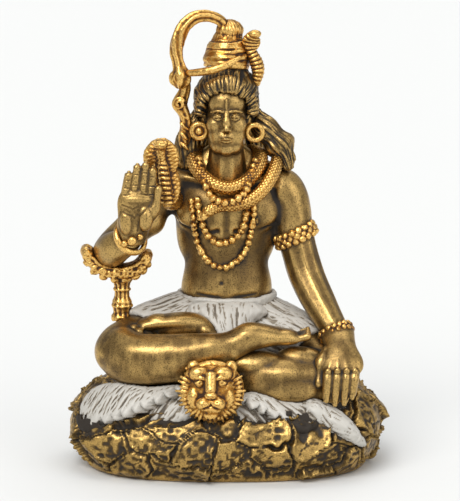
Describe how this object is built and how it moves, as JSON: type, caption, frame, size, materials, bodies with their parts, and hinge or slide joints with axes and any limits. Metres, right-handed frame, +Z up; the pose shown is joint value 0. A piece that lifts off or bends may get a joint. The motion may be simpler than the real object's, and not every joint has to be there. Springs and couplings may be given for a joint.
{
  "type": "seated deity statue",
  "caption": "Antique-brass seated meditating figure on a rock, with serpents, a topknot with an arched stream, an arm rest and a tiger pelt.",
  "frame": {"origin": "middle of the footprint, on the surface that the statue stands on", "axes": "+Z up, the figure faces -Y, the figure's own left side is at +X"},
  "size_m": [0.2089, 0.147, 0.3004],
  "materials": {
    "flesh": "antiqued, dark recesses and rubbed highlights",
    "ornament": "bright gold, dark recesses",
    "dark_hair": "dark patina with rubbed ridges",
    "rock": "dark patina with bright rubbed edges",
    "white_cloth": "silvery white with a brown wash in the folds",
    "felt": "felt"
  },
  "bodies": {
    "root": {"rock_base": "rock", "base_felt": "felt", "pelt_right": "white_cloth", "pelt_left": "white_cloth", "pelt_back": "white_cloth", "tiger_head": "ornament", "tiger_ruff": "ornament", "right_leg": "flesh", "left_leg": "flesh", "waist_wrap": "white_cloth", "front_panel": "white_cloth", "right_thigh_wrap": "white_cloth", "left_thigh_wrap": "white_cloth", "torso": "flesh", "left_upper_arm": "flesh", "left_forearm": "flesh", "left_hand": "flesh", "right_upper_arm": "flesh", "right_forearm": "flesh", "right_hand": "flesh", "head": "flesh", "hair_cap": "dark_hair", "topknot": "dark_hair", "topknot_tie": "ornament", "back_hair": "dark_hair", "left_hair_lock": "dark_hair", "right_hair_lock": "dark_hair", "river_stream": "ornament", "crescent_moon": "ornament", "side_stream": "ornament", "topknot_serpent": "ornament", "inner_coil": "ornament", "outer_coil": "ornament", "hood_serpent": "ornament", "collar_beads": "ornament", "short_beads": "flesh", "long_beads": "ornament", "left_armlet": "ornament", "left_bracelet": "ornament", "right_bracelet": "ornament", "left_earring": "ornament", "right_earring": "ornament", "arm_rest": "ornament"}
  },
  "joints": []
}
